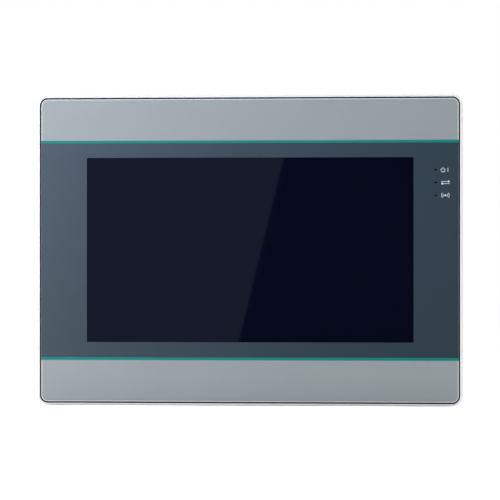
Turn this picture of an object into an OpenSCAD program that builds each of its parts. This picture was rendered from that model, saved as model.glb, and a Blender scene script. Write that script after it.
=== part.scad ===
// Panel-mount HMI touch panel, 7 inch class, as an assembly of separate pieces.
// X runs along the width, Y into the control cabinet and Z up. The origin is the centre
// of the cabinet's cut-out, on the door's outer face, where the panel gasket seats.

/* [Front] */
// Width of the bezel
panel_w = 200.6; // [200:0.1:202]
// Height of the bezel
panel_h = 145.2; // [145:0.1:147]
// Radius of the bezel's corners
panel_r = 4.5; // [3.5:0.5:6]
// How far the bezel stands out from the door
bezel_out = 7; // [6.8:0.1:7.2]
// Width of the raised rim round the overlay
rim_w = 0.85; // [0.8:0.05:1.2]
// Gap between the rim and the overlay
overlay_gap = 0.7; // [0.4:0.05:0.7]
// Thickness of the printed overlay
overlay_t = 0.35; // [0.25:0.05:0.4]
// Thickness of the adhesive sheet behind the overlay
adhesive_t = 0.15; // [0.1:0.05:0.2]
// How far the overlay lies below the rim
overlay_drop = 0.3; // [0.2:0.1:0.4]
// Width of the display window
window_w = 154.6; // [152:0.1:155]
// Height of the display window
window_h = 86.6; // [85:0.1:88]
// How far the display sits above the centre
window_up = 0.2; // [0:0.1:0.5]
// How far the printed window sits to the right of the centre
window_right = 0.3; // [0:0.1:0.5]
// Distance of the indicators from the centre
led_x = 88; // [87:0.1:88.2]
// Height of the middle indicator
led_z = 31.6; // [30:0.1:34]
// Spacing of the indicators
led_pitch = 5.95; // [5:0.05:7]

/* [Housing] */
// Width of the collar that fills the door's cut-out
collar_w = 190; // [189.5:0.1:190.5]
// Height of the collar
collar_h = 136; // [135.5:0.1:136.5]
// Width of the rear cover behind its flange
cover_w = 182; // [181:0.5:183]
// Height of the rear cover behind its flange
cover_h = 128; // [127.5:0.5:128.5]
// Wall thickness of the rear cover
wall = 2.2; // [2:0.1:2.4]
// Depth of the rear cover behind the door's face
cover_back = 24; // [23.5:0.1:25]
// Depth of the connector hump behind the door's face
hump_back = 32; // [31:0.1:34]
// Half width of the recess that the connectors face into
bay_half = 74; // [73.5:0.1:74.5]

/* [Clamps] */
// Distance of each clamp from the centre
clamp_x = 83; // [82.5:0.1:83.5]
// Height of the clamp screws above the centre
clamp_z = 70.5; // [70.4:0.1:70.8]
// Clear gap between the door's face and a backed-off foot
clamp_gap = 7; // [6.5:0.5:7.5]
// Radius of the clamp screw
clamp_screw_r = 1.5; // [1.4:0.1:1.6]

/* [Power plug] */
// Distance of the power plug from the centre
plug_x = 62; // [61.8:0.1:62.2]
// Spacing of its poles
pole_pitch = 5.08; // [5:0.04:5.08]

/* [Hidden] */
$fn = 48;
cut = 0.05;      // how far a cutting solid reaches past the face it opens
clearance = 0.05; // radial clearance of a screw in its hole

// Planes of the front, from the rim back to the collar
y_rim = -bezel_out;
y_overlay = y_rim + overlay_drop;
y_adhesive = y_overlay + overlay_t;
y_web = y_adhesive + adhesive_t;
y_glass = y_web + 0.3;
y_ledge = y_web + 1.9;
y_web_back = y_web + 3;
y_flange = -1;
y_parting = 5;
// Planes of the display module and the boards behind it
y_lcd = y_web_back + 0.7;
y_lcd_back = y_lcd + 5.7;
y_plate = y_lcd_back + 0.2;
plate_t = 1;
y_board = y_plate + 8;
board_t = 1.6;
y_parts = y_board + board_t;
// Planes of the rear cover
y_cover_flange = y_parting + 2.5;
y_bay = 11;
bay_top = -34;
hump_top = 14;

// Outlines of the display stack
touch_w = 165;
touch_h = 100;
view_w = window_w + 3;
view_h = window_h + 3;
cavity_w = collar_w - 6;
cavity_h = collar_h - 6;
led_heights = [led_z + led_pitch, led_z, led_z - led_pitch];

// Screw places, as [x, z]
cover_screw_x = 82.5;
cover_screw_z = 56.5;
plate_bosses = [[-50, 57], [50, 57], [-50, -57], [50, -57], [-86, 0], [86, 0]];
board_x = 74;
board_low = -31.6;
board_high = 52;
board_holes = [[-board_x, -26], [board_x, -26], [-board_x, 46], [board_x, 46]];
screw_pilot_r = 1.2;

// The flat cables run up between the chassis plate and the wall of the cable bay, into
// sockets on the board's front face: the last points of both, as [y, z]
y_cable = 6.5;
socket_low = -26;
cable_end = [[y_cable, bay_top + 1], [y_board - 1.5, socket_low - 2.5], [y_board - 1.5, socket_low + 1.5]];

// Connectors along the port wall: centre of each, and where its face stands
ethernet_x = -40;
usb_device_x = -23;
usb_host_x = -7;
serial_xs = [19, 55];
serial_y = y_parts + 6.4;
jack_spacing = 25;
port_face = bay_top - 0.8;
header_low = bay_top - 3;

// ---------------------------------------------------------------- shape helpers

// Corner p1 of an outline, rounded to radius r between its neighbours p0 and p2
function rounded_corner(p0, p1, p2, r, steps) =
    let (
        u = (p0 - p1) / norm(p0 - p1),
        v = (p2 - p1) / norm(p2 - p1),
        half = acos(u * v) / 2,
        centre = p1 + (u + v) / norm(u + v) * r / sin(half),
        spin = sign(u[1] * v[0] - u[0] * v[1]),
        first = centre - spin * r * [u[1], -u[0]],
        start = atan2(first[1] - centre[1], first[0] - centre[0]),
        turn = (180 - 2 * half) * spin
    )
    [for (i = [0 : steps]) centre + r * [cos(start + turn * i / steps), sin(start + turn * i / steps)]];

// Outline through the points, with every corner rounded to radius r
function rounded_outline(points, r, steps = 8) =
    let (n = len(points))
    [for (i = [0 : n - 1]) each
        rounded_corner(points[(i + n - 1) % n], points[i], points[(i + 1) % n], r, steps)];

function box_points(w, h) = [[w / 2, -h / 2], [w / 2, h / 2], [-w / 2, h / 2], [-w / 2, -h / 2]];

module rounded_rect(w, h, r) {
    polygon(rounded_outline(box_points(w, h), r));
}

// Extrudes a shape drawn in X and Z from y0 to y1
module slab(y0, y1) {
    rotate([90, 0, 0]) translate([0, 0, -y1]) linear_extrude(y1 - y0) children();
}

// Extrudes a shape drawn in X and Y from z0 to z1
module column(z0, z1) {
    translate([0, 0, z0]) linear_extrude(z1 - z0) children();
}

// A box between two corners
module block(low, high) {
    translate(low) cube(high - low);
}

// A cylinder along Y at [x, z]
module rod(at, r, y0, y1) {
    translate([at[0], y0, at[1]]) rotate([-90, 0, 0]) cylinder(r = r, h = y1 - y0);
}

// A cylinder along Z at [x, y]
module post(at, r, z0, z1) {
    translate([at[0], at[1], z0]) cylinder(r = r, h = z1 - z0);
}

// A pan-head screw along Y with a cross recess: seat is the plane under its head, tip its end
module cross_screw(at, r, head_r, head_t, seat, tip) {
    difference() {
        union() {
            rod(at, r, tip, seat + cut);
            rod(at, head_r, seat, seat + head_t);
        }
        for (turn = [0, 90])
            translate([at[0], seat + head_t, at[1]]) rotate([0, turn, 0])
                cube([head_r * 1.2, head_t * 1.1, head_r * 0.24], center = true);
    }
}

// A flat strip of thickness t that follows a path drawn in Y and Z
function strip_normal(path, i) =
    let (
        last = len(path) - 1,
        before = i == 0 ? path[1] - path[0] : path[i] - path[i - 1],
        after = i == last ? path[last] - path[last - 1] : path[i + 1] - path[i],
        a = before / norm(before),
        b = after / norm(after),
        n = [-(a[1] + b[1]), a[0] + b[0]] / norm(a + b)
    )
    n / (n * [-a[1], a[0]]);

module strip(path, t, x0, x1) {
    sides = [for (side = [1, -1]) [for (i = [0 : len(path) - 1])
        path[i] + strip_normal(path, i) * side * t / 2]];
    outline = concat(sides[0], [for (i = [len(path) - 1 : -1 : 0]) sides[1][i]]);
    translate([x0, 0, 0]) rotate([90, 0, 90]) linear_extrude(x1 - x0) polygon(outline);
}

// ---------------------------------------------------------------- front

module gasket_ring(side) {
    difference() {
        rounded_rect(panel_w - 3.4 - 2 * side, panel_h - 3.4 - 2 * side, 3);
        rounded_rect(collar_w + 2.4 + 2 * side, collar_h + 2.4 + 2 * side, 3);
    }
}

module bezel_bosses() {
    for (at = plate_bosses) rod(at, 2.8, y_web_back - cut, y_plate);
    for (x = [-1, 1], z = [-1, 1])
        rod([x * cover_screw_x, z * cover_screw_z], 3.2, y_web_back - cut, y_parting - 0.4);
    for (z = [led_z - 10, led_z + 10]) rod([led_x, z], 1.5, y_web_back - cut, 1.6);
}

module bezel_pilots() {
    for (at = plate_bosses) rod(at, screw_pilot_r, y_web_back + 1, y_plate + cut);
    for (x = [-1, 1], z = [-1, 1])
        rod([x * cover_screw_x, z * cover_screw_z], screw_pilot_r, y_web_back + 1, y_parting);
}

module front_bezel() {
    pocket_w = panel_w - 2 * rim_w;
    pocket_h = panel_h - 2 * rim_w;
    color([0.80, 0.81, 0.83]) difference() {
        union() {
            difference() {
                union() {
                    slab(y_rim, y_flange) rounded_rect(panel_w, panel_h, panel_r);
                    slab(y_flange - cut, y_parting) rounded_rect(collar_w, collar_h, 3);
                }
                slab(y_web_back, y_parting + cut) rounded_rect(cavity_w, cavity_h, 2);
            }
            bezel_bosses();
        }
        slab(y_rim - cut, y_web) rounded_rect(pocket_w, pocket_h, panel_r - rim_w);
        slab(y_web - cut, y_ledge) translate([0, window_up]) square([touch_w + 0.4, touch_h + 0.4], center = true);
        slab(y_web - cut, y_web_back + cut) translate([0, window_up]) square([view_w, view_h], center = true);
        block([53, y_web - cut, window_up - touch_h / 2 - 2.5], [67, y_web_back + cut, window_up - touch_h / 2]);
        slab(y_flange - 1.2, y_flange + cut) gasket_ring(0);
        for (z = led_heights) rod([led_x, z], 1.1, y_web - cut, y_web_back + cut);
        bezel_pilots();
    }
}

module overlay_slots(y0, y1) {
    for (z = led_heights) block([led_x - 0.7, y0, z - 0.3], [led_x + 0.7, y1, z + 0.3]);
}

module front_overlay() {
    edge = rim_w + overlay_gap;
    color([0.36, 0.42, 0.48]) difference() {
        slab(y_overlay, y_adhesive) rounded_rect(panel_w - 2 * edge, panel_h - 2 * edge, panel_r - edge);
        slab(y_overlay - cut, y_web) translate([window_right, window_up]) rounded_rect(window_w, window_h, 0.3);
        overlay_slots(y_overlay - cut, y_web);
    }
}

module indicator_lenses() {
    color([0.05, 0.06, 0.07]) overlay_slots(y_overlay, y_web);
}

// A plate as large as the touch sensor, in front of the display
module touch_plate(y0, y1, w, h) {
    slab(y0, y1) translate([0, window_up]) square([w, h], center = true);
}

module touch_film() {
    color([0.10, 0.11, 0.16]) touch_plate(y_web, y_web + 0.2, touch_w, touch_h);
}

module touch_glass() {
    color([0.55, 0.62, 0.66]) touch_plate(y_glass, y_ledge - 0.1, touch_w, touch_h);
}

module tape_frame(y0, y1) {
    difference() {
        touch_plate(y0, y1, touch_w - 1, touch_h - 1);
        touch_plate(y0 - cut, y1 + cut, view_w, view_h);
    }
}

module overlay_adhesive() {
    edge = rim_w + 0.05;
    difference() {
        slab(y_adhesive, y_web) rounded_rect(panel_w - 2 * edge, panel_h - 2 * edge, panel_r - edge);
        touch_plate(y_adhesive - cut, y_web + cut, view_w, view_h);
        for (z = led_heights) rod([led_x, z], 1.1, y_adhesive - cut, y_web + cut);
    }
}

module bonding_tapes() {
    color([0.12, 0.12, 0.13]) {
        overlay_adhesive();
        tape_frame(y_web + 0.2, y_glass);
        tape_frame(y_ledge - 0.1, y_ledge);
        tape_frame(y_web_back, y_lcd);
    }
}

touch_low = window_up - touch_h / 2;
module touch_tail() {
    color([0.72, 0.45, 0.16])
        strip(concat([[y_glass + 0.6, touch_low - 0.1], [y_glass + 0.6, touch_low - 1.4],
                      [y_cable, touch_low - 1.4]], cable_end), 0.2, 54, 66);
}

module lcd_frame() {
    sheet = 0.4;
    color([0.62, 0.63, 0.64]) difference() {
        touch_plate(y_lcd, y_lcd_back - 0.5, touch_w, touch_h);
        touch_plate(y_lcd + sheet, y_lcd_back, touch_w - 2 * sheet, touch_h - 2 * sheet);
        touch_plate(y_lcd - cut, y_lcd_back, view_w, view_h);
    }
}

module lcd_cell() {
    color([0.05, 0.06, 0.10]) touch_plate(y_lcd + 0.4, y_lcd + 1.6, 163, 98);
}

module light_guide() {
    color([0.93, 0.94, 0.92]) touch_plate(y_lcd + 1.6, y_lcd + 5.2, 163, 98);
}

module lcd_rear_pan() {
    color([0.70, 0.71, 0.72]) touch_plate(y_lcd_back - 0.5, y_lcd_back, touch_w, touch_h);
}

module lcd_ribbon() {
    color([0.72, 0.45, 0.16])
        strip(concat([[y_lcd_back + 0.1, touch_low + 12], [y_lcd_back + 0.1, touch_low - 0.8],
                      [y_cable, touch_low - 0.8]], cable_end), 0.2, -24, 0);
}

// ---------------------------------------------------------------- chassis and boards

module chassis_plate() {
    color([0.72, 0.73, 0.74]) difference() {
        union() {
            slab(y_plate, y_plate + plate_t) rounded_rect(176, 122, 3);
            for (at = board_holes) rod(at, 2.8, y_plate + plate_t - cut, y_board);
        }
        for (at = plate_bosses) rod(at, 1.6, y_plate - cut, y_plate + plate_t + cut);
        for (at = board_holes) rod(at, screw_pilot_r, y_plate - cut, y_board + cut);
        for (x = [-1, 1], z = [-1, 1])
            rod([x * cover_screw_x, z * cover_screw_z], 4, y_plate - cut, y_plate + plate_t + cut);
        block([52, y_plate - cut, touch_low - 4], [68, y_plate + plate_t + cut, touch_low + 3]);
        block([-26, y_plate - cut, touch_low - 4], [2, y_plate + plate_t + cut, touch_low + 14]);
    }
}

module internal_screws() {
    color([0.78, 0.78, 0.79]) {
        for (at = plate_bosses)
            cross_screw(at, screw_pilot_r - clearance, 2.7, 1.8, y_plate + plate_t, y_web_back + 2);
        for (at = board_holes)
            cross_screw(at, screw_pilot_r - clearance, 2.6, 1.7, y_parts, y_board - 5);
    }
}

module main_board() {
    color([0.05, 0.33, 0.18]) difference() {
        block([-80, y_board, board_low], [80, y_parts, board_high]);
        for (at = board_holes) rod(at, 1.6, y_board - cut, y_parts + cut);
    }
}

// A chip on the board's rear face, centred at [x, z]
module chip(at, w, h, t) {
    block([at[0] - w / 2, y_parts, at[1] - h / 2], [at[0] + w / 2, y_parts + t, at[1] + h / 2]);
}

processor_at = [-30, 34];
processor_t = 1.4;
module processor() {
    color([0.10, 0.10, 0.11]) chip(processor_at, 17, 17, processor_t);
}

module heat_sink() {
    size = 24;
    fins = 8;
    fin_t = 1;
    base_y = y_parts + processor_t;
    color([0.75, 0.76, 0.78]) union() {
        block([processor_at[0] - size / 2, base_y, processor_at[1] - size / 2],
              [processor_at[0] + size / 2, base_y + 1.6, processor_at[1] + size / 2]);
        for (i = [0 : fins - 1])
            let (x = processor_at[0] - size / 2 + i * (size - fin_t) / (fins - 1))
                block([x, base_y + 1, processor_at[1] - size / 2], [x + fin_t, base_y + 6.4, processor_at[1] + size / 2]);
    }
}

module board_chips() {
    color([0.13, 0.13, 0.14]) {
        for (z = [26, 42]) chip([-6, z], 10, 12, 1.1);
        chip([16, 36], 12, 18, 1.1);
        for (x = serial_xs, side = [-7, 7]) chip([x + side, -8], 5, 6, 1.5);
        chip([ethernet_x, 0], 9, 9, 1.2);
    }
}

module ribbon_sockets() {
    color([0.90, 0.88, 0.82])
        for (span = [[53, 67], [-25, 1]]) difference() {
            block([span[0], y_board - 2.2, socket_low], [span[1], y_board, socket_low + 5]);
            block([span[0] + 0.8, y_board - 1.7, socket_low - cut], [span[1] - 0.8, y_board - 1.3, socket_low + 3]);
        }
}

module power_inductors() {
    color([0.25, 0.25, 0.27]) for (z = [-12, 3]) chip([-68, z], 10, 10, 4.5);
}

module capacitors() {
    color([0.80, 0.81, 0.83]) for (at = [[-54, -10], [-54, 2], [-54, 14]]) rod(at, 4, y_parts, y_parts + 8);
}

cell_at = [50, 30];
module battery_holder() {
    color([0.10, 0.10, 0.11]) difference() {
        rod(cell_at, 12, y_parts, y_parts + 4);
        rod(cell_at, 10.1, y_parts + 0.6, y_parts + 4 + cut);
        block([cell_at[0] - 4, y_parts + 0.6, cell_at[1] + 6], [cell_at[0] + 4, y_parts + 4 + cut, cell_at[1] + 14]);
    }
}

module coin_cell() {
    color([0.82, 0.82, 0.84]) union() {
        rod(cell_at, 8.5, y_parts + 0.6, y_parts + 1.2);
        rod(cell_at, 10, y_parts + 1.15, y_parts + 3.8);
    }
}

buzzer_at = [-66, 22];
module buzzer() {
    color([0.08, 0.08, 0.09]) difference() {
        rod(buzzer_at, 6, y_parts, y_parts + 7);
        rod(buzzer_at, 1.2, y_parts + 5, y_parts + 7 + cut);
    }
}

module led_board() {
    color([0.05, 0.33, 0.18]) block([led_x - 3.5, 1.6, led_z - 12], [led_x + 3.5, 2.6, led_z + 12]);
}

module indicator_leds() {
    color([0.95, 0.93, 0.80]) for (z = led_heights) block([led_x - 0.8, 0.8, z - 0.6], [led_x + 0.8, 1.6, z + 0.6]);
}

module light_pipes() {
    color([0.85, 0.90, 0.92]) for (z = led_heights) rod([led_x, z], 1, y_web, 0.7);
}

// ---------------------------------------------------------------- power connector

pole_xs = [for (i = [-1 : 1]) i * pole_pitch - plug_x];
header_wide = 18;
header_deep = 8.8;
header_wall = 1.2;
header_high = bay_top + 9;
nose_depth = 8.6;
plug_wide = 16.6;
plug_low = -52;
plug_top = header_low - 0.4;
plug_y0 = y_parts + 0.2;
plug_y1 = y_parts + 12.2;
terminal_z = -47.1;
contact_y = y_parts + 4.75;
screw_seat = y_parts + 9.2;
clamp_y = y_parts + 1.1;
clamp_travel = 1.8;

module power_header() {
    color([0.10, 0.36, 0.18]) difference() {
        block([-plug_x - header_wide / 2, y_parts, header_low], [-plug_x + header_wide / 2, y_parts + header_deep, header_high]);
        block([-plug_x - header_wide / 2 + 1, y_parts + header_wall, header_low - cut],
              [-plug_x + header_wide / 2 - 1, y_parts + header_deep - 1, header_low + 9]);
        for (x = pole_xs) block([x - 0.5, contact_y - 0.5, header_low], [x + 0.5, contact_y + 0.5, header_high - 1]);
    }
}

module power_pins() {
    color([0.85, 0.80, 0.60]) for (x = pole_xs)
        block([x - 0.5, contact_y - 0.5, header_low + 1.5], [x + 0.5, contact_y + 0.5, header_high - 1]);
}

module terminal_plug() {
    nose_half = header_wide / 2 - 1.2;
    color([0.13, 0.52, 0.26]) difference() {
        union() {
            block([-plug_x - plug_wide / 2, plug_y0, plug_low], [-plug_x + plug_wide / 2, plug_y1, plug_top]);
            block([-plug_x - nose_half, y_parts + header_wall + 0.2, plug_top - 1],
                  [-plug_x + nose_half, y_parts + header_deep - 1.2, header_low + nose_depth]);
        }
        for (x = pole_xs) {
            block([x - 2.2, y_parts + 0.8, terminal_z - 2.5], [x + 2.2, y_parts + 8.6, terminal_z + 2.5]);
            block([x - 1.7, y_parts + 1.6, plug_low - cut], [x + 1.7, y_parts + 5, terminal_z - 2.4]);
            rod([x, terminal_z], 1.33, y_parts + 8.5, y_parts + 12.3);
            rod([x, terminal_z], 2.1, screw_seat - 0.1, plug_y1 + cut);
            block([x - 1.2, contact_y - 0.45, terminal_z + 2.4], [x + 1.2, contact_y + 0.45, plug_top]);
            block([x - 1.4, contact_y - 1.4, plug_top - 1.5], [x + 1.4, contact_y + 1.4, header_low + nose_depth + cut]);
        }
    }
}

module plug_contacts() {
    color([0.86, 0.84, 0.80]) for (x = pole_xs) difference() {
        union() {
            block([x - 1.1, contact_y - 0.35, terminal_z - 2.1], [x + 1.1, contact_y + 0.35, plug_top - 1.3]);
            block([x - 1.3, contact_y - 1.3, plug_top - 1.4], [x + 1.3, contact_y + 1.3, header_low + nose_depth - 0.2]);
        }
        block([x - 0.65, contact_y - 0.65, plug_top - 0.4], [x + 0.65, contact_y + 0.65, header_low + nose_depth]);
    }
}

module terminal_screw(pole) {
    at = [pole_xs[pole - 1], terminal_z];
    color([0.80, 0.80, 0.81]) difference() {
        union() {
            rod(at, 1.25, y_parts + 5.3, screw_seat + cut);
            rod(at, 2, screw_seat, screw_seat + 1.5);
        }
        block([at[0] - 1.6, screw_seat + 0.7, at[1] - 0.3], [at[0] + 1.6, screw_seat + 1.5 + cut, at[1] + 0.3]);
    }
}

module wire_clamp(pole) {
    x = pole_xs[pole - 1];
    color([0.83, 0.82, 0.78]) difference() {
        block([x - 2, clamp_y, terminal_z - 2.2], [x + 2, clamp_y + 5.4, terminal_z + 2.2]);
        block([x - 1.4, clamp_y + 0.8, terminal_z - 2.2 - cut], [x + 1.4, clamp_y + 4.1, terminal_z + 2.2 + cut]);
        rod([x, terminal_z], 1.3, clamp_y + 4, clamp_y + 5.4 + cut);
    }
}

// ---------------------------------------------------------------- data ports

// The nine-pole D outline: 10 degree flanks, wider towards +Y, grown by side all round
module d_outline(side) {
    h = 3.95 + side;
    top = 8.15 + side * 1.05;
    slope = 2 * h * tan(10);
    polygon(rounded_outline([[top - slope, -h], [top, h], [-top, h], [-top + slope, -h]], 2.2 + side));
}

shell_t = 0.4;
flange_low = bay_top - 0.6;
shell_low = flange_low - 5.8;
pin_pitch = 2.77;
pin_row = 1.42;

module at_serial(x) {
    translate([x, serial_y, 0]) children();
}

module serial_shells() {
    color([0.80, 0.80, 0.78]) for (x = serial_xs) at_serial(x) difference() {
        union() {
            column(flange_low, flange_low + 0.8) rounded_rect(30.8, 12.5, 1.5);
            column(shell_low, flange_low + cut) d_outline(shell_t);
        }
        column(shell_low - cut, flange_low + 0.8 + cut) d_outline(0);
        for (side = [-1, 1]) post([side * jack_spacing / 2, 0], 1.6, flange_low - cut, flange_low + 0.8 + cut);
    }
}

module serial_inserts() {
    color([0.07, 0.07, 0.08]) for (x = serial_xs) at_serial(x) difference() {
        union() {
            column(shell_low + 0.3, flange_low + 1) d_outline(0);
            translate([-9.6, -5.4, flange_low + 0.8]) cube([19.2, 10.8, 10.8]);
        }
        for (i = [0 : 4]) post([(i - 2) * pin_pitch, pin_row], 0.55, shell_low, shell_low + 5);
        for (i = [0 : 3]) post([(i - 1.5) * pin_pitch, -pin_row], 0.55, shell_low, shell_low + 5);
    }
}

module jack_posts() {
    color([0.76, 0.76, 0.75]) for (x = serial_xs, side = [-1, 1]) at_serial(x)
        translate([side * jack_spacing / 2, 0, 0]) difference() {
            union() {
                translate([0, 0, flange_low - 5]) cylinder(r = 2.75, h = 5, $fn = 6);
                post([0, 0], 1.5, flange_low - cut, flange_low + 4);
            }
            post([0, 0], 1.25, flange_low - 5 - cut, flange_low - 0.5);
        }
}

usb_host_y = y_parts + 3.4;
usb_device_y = y_parts + 5.5;
usb_shell_t = 0.5;
module usb_shells() {
    color([0.80, 0.80, 0.79]) {
        translate([usb_host_x, usb_host_y, 0]) difference() {
            column(port_face, port_face + 14) rounded_rect(13.5, 6.1, 0.8);
            column(port_face - cut, port_face + 13.5) rounded_rect(13.5 - 2 * usb_shell_t, 6.1 - 2 * usb_shell_t, 0.4);
        }
        translate([usb_device_x, usb_device_y, 0]) difference() {
            column(port_face, port_face + 16) rounded_rect(12, 11, 0.8);
            column(port_face - cut, port_face + 15.5) rounded_rect(12 - 2 * usb_shell_t, 11 - 2 * usb_shell_t, 0.4);
        }
    }
}

module usb_inserts() {
    color([0.92, 0.92, 0.90]) {
        translate([usb_host_x, usb_host_y, 0]) union() {
            column(port_face + 10.5, port_face + 13.5) square([12.3, 4.9], center = true);
            translate([-5.55, 0.2, port_face + 1.5]) cube([11.1, 1.84, 9.5]);
        }
        translate([usb_device_x, usb_device_y, 0]) union() {
            difference() {
                column(port_face + 0.2, port_face + 15.5) square([10.8, 9.8], center = true);
                column(port_face, port_face + 11.5)
                    polygon([[-4.25, -3.9], [4.25, -3.9], [4.25, 2.3], [2.7, 3.9], [-2.7, 3.9], [-4.25, 2.3]]);
            }
            translate([-2.8, -1.6, port_face + 1.8]) cube([5.6, 3.2, 10]);
        }
    }
}

ethernet_y = y_parts + 6.7;
module ethernet_shell() {
    color([0.79, 0.79, 0.78]) translate([ethernet_x, ethernet_y, 0]) difference() {
        column(port_face, port_face + 20) rounded_rect(16, 13.4, 0.6);
        column(port_face - cut, port_face + 19.5) square([15, 12.4], center = true);
    }
}

module ethernet_insert() {
    color([0.09, 0.09, 0.10]) translate([ethernet_x, ethernet_y, 0]) difference() {
        column(port_face + 0.2, port_face + 19.4) square([14.8, 12.2], center = true);
        column(port_face, port_face + 13) translate([0, -1.1]) square([11.8, 7], center = true);
        column(port_face, port_face + 9) translate([0, 3]) square([6.2, 3], center = true);
    }
}

// ---------------------------------------------------------------- rear cover

module bay(side) {
    block([-bay_half - side, y_bay - side, -cover_h / 2 - 10], [bay_half + side, hump_back + 10, bay_top + side]);
}

module hump_outline(side) {
    translate([0, (bay_top + hump_top) / 2])
        rounded_rect(2 * bay_half + 8 - 2 * side, hump_top - bay_top - 2 * side, 4 - side * 0.9);
}

module cover_solid() {
    difference() {
        union() {
            slab(y_parting, y_cover_flange) rounded_rect(collar_w, collar_h, 3);
            slab(y_parting - 1.5, y_parting + cut) rounded_rect(cavity_w - 0.4, cavity_h - 0.4, 1.8);
            slab(y_cover_flange - cut, cover_back) rounded_rect(cover_w, cover_h, 4);
            slab(cover_back - cut, hump_back) hump_outline(0);
        }
        bay(0);
    }
}

module cover_cavity() {
    difference() {
        union() {
            slab(y_parting - 1.5 - cut, cover_back - wall) rounded_rect(cover_w - 2 * wall, cover_h - 2 * wall, 2);
            slab(cover_back - wall - cut, hump_back - wall) hump_outline(wall);
        }
        bay(wall);
        for (x = [-1, 1], z = [-1, 1])
            rod([x * cover_screw_x, z * cover_screw_z], 3.4, y_parting - 0.4, cover_back);
        dip_funnel(1.2);
    }
}

dip_at = [-66, 42];
dip_deep = 3.4;
dip_stand = 0.6;

// The moulded well that leads from the back of the cover down to the mode switch
module dip_funnel(side) {
    block([dip_at[0] - 7 - side, y_parts + dip_deep + dip_stand + 0.4, dip_at[1] - 4.5 - side],
          [dip_at[0] + 7 + side, cover_back + cut, dip_at[1] + 4.5 + side]);
}

module port_windows() {
    gap = 0.2;
    // Each window is [centre x, width, first y, last y]
    for (port = [
        [-plug_x, header_wide, y_parts, y_parts + header_deep],
        [ethernet_x, 16, y_parts, y_parts + 13.4],
        [usb_device_x, 12, y_parts, y_parts + 11],
        [usb_host_x, 13.5, usb_host_y - 3.05, usb_host_y + 3.05],
        [serial_xs[0], 30.8, serial_y - 6.25, serial_y + 6.25],
        [serial_xs[1], 30.8, serial_y - 6.25, serial_y + 6.25]
    ])
        block([port[0] - port[1] / 2 - gap, port[2] - gap, bay_top - cut],
              [port[0] + port[1] / 2 + gap, port[3] + gap, bay_top + wall + cut]);
}

module hook_slots() {
    for (x = [-1, 1], z = [-1, 1], hook = [-1, 1])
        block([x * clamp_x + hook * 3 - 1.8, 11, z > 0 ? cover_h / 2 - wall - cut : -cover_h / 2 - cut],
              [x * clamp_x + hook * 3 + 1.8, 19.3, z > 0 ? cover_h / 2 + cut : -cover_h / 2 + wall + cut]);
}

vent_count = 12;
vent_pitch = 8;
back_vents = 7;
module vents() {
    for (i = [0 : vent_count - 1])
        translate([(i - (vent_count - 1) / 2) * vent_pitch, 15, 0])
            column(cover_h / 2 - wall - 1, cover_h / 2 + 1) rounded_rect(2.6, 9, 1.2);
    for (i = [0 : back_vents - 1])
        slab(cover_back - wall - 1, cover_back + 1)
            translate([i * 5 - 47, 40]) rounded_rect(2.6, 26, 1.2);
}

label_w = 62;
label_h = 32;
label_at = [34, 40];
module label_recess(side, y0, y1) {
    slab(y0, y1) translate(label_at) rounded_rect(label_w - 2 * side, label_h - 2 * side, 2);
}

module rear_cover() {
    color([0.20, 0.21, 0.23]) difference() {
        cover_solid();
        cover_cavity();
        port_windows();
        hook_slots();
        vents();
        dip_funnel(0);
        label_recess(0, cover_back - 0.3, cover_back + cut);
        for (at = [[0, 0], [2.6, 0], [-2.6, 0], [0, 2.6], [0, -2.6]])
            rod(buzzer_at + at, 0.7, cover_back - wall - cut, cover_back + cut);
        for (x = [-1, 1], z = [-1, 1]) {
            rod([x * cover_screw_x, z * cover_screw_z], 1.7, y_parting - 0.4 - cut, cover_back);
            rod([x * cover_screw_x, z * cover_screw_z], 3, cover_back - 3, cover_back + cut);
        }
    }
}

module cover_screws() {
    color([0.20, 0.20, 0.21]) for (x = [-1, 1], z = [-1, 1])
        cross_screw([x * cover_screw_x, z * cover_screw_z], screw_pilot_r - clearance, 2.75, 2, cover_back - 3, 0);
}

module rating_label() {
    color([0.78, 0.79, 0.80]) label_recess(0.3, cover_back - 0.3, cover_back - 0.1);
}

// ---------------------------------------------------------------- mode switch

dip_pitch = 3.2;
dip_travel = 2;
module dip_body() {
    top = y_parts + dip_deep;
    color([0.62, 0.10, 0.10]) difference() {
        chip(dip_at, 9.4, 6.6, dip_deep);
        for (side = [-1, 1])
            block([dip_at[0] + side * dip_pitch / 2 - 0.8, top - 1.2, dip_at[1] - 2],
                  [dip_at[0] + side * dip_pitch / 2 + 0.8, top + cut, dip_at[1] + 2]);
    }
}

module dip_slider(which) {
    x = dip_at[0] + (which * 2 - 3) * dip_pitch / 2;
    top = y_parts + dip_deep;
    color([0.95, 0.95, 0.93])
        block([x - 0.7, top - 1.1, dip_at[1] - 1.9], [x + 0.7, top + dip_stand, dip_at[1] - 0.1]);
}

// ---------------------------------------------------------------- clamps

// Clamps 1 to 4: top left, top right, bottom left and bottom right, from the front
clamp_sides = [[-1, 1], [1, 1], [-1, -1], [1, -1]];
ear_y0 = 14;
ear_y1 = 20;
foot_r = 2.2;
foot_long = 4;
screw_head_y = 26.5;

// Draws its children, made for a clamp above the housing at x = 0, at one of the four places
module at_clamp(which) {
    side = clamp_sides[which - 1];
    translate([side[0] * clamp_x, 0, 0]) mirror([0, 0, side[1] < 0 ? 1 : 0]) children();
}

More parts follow.
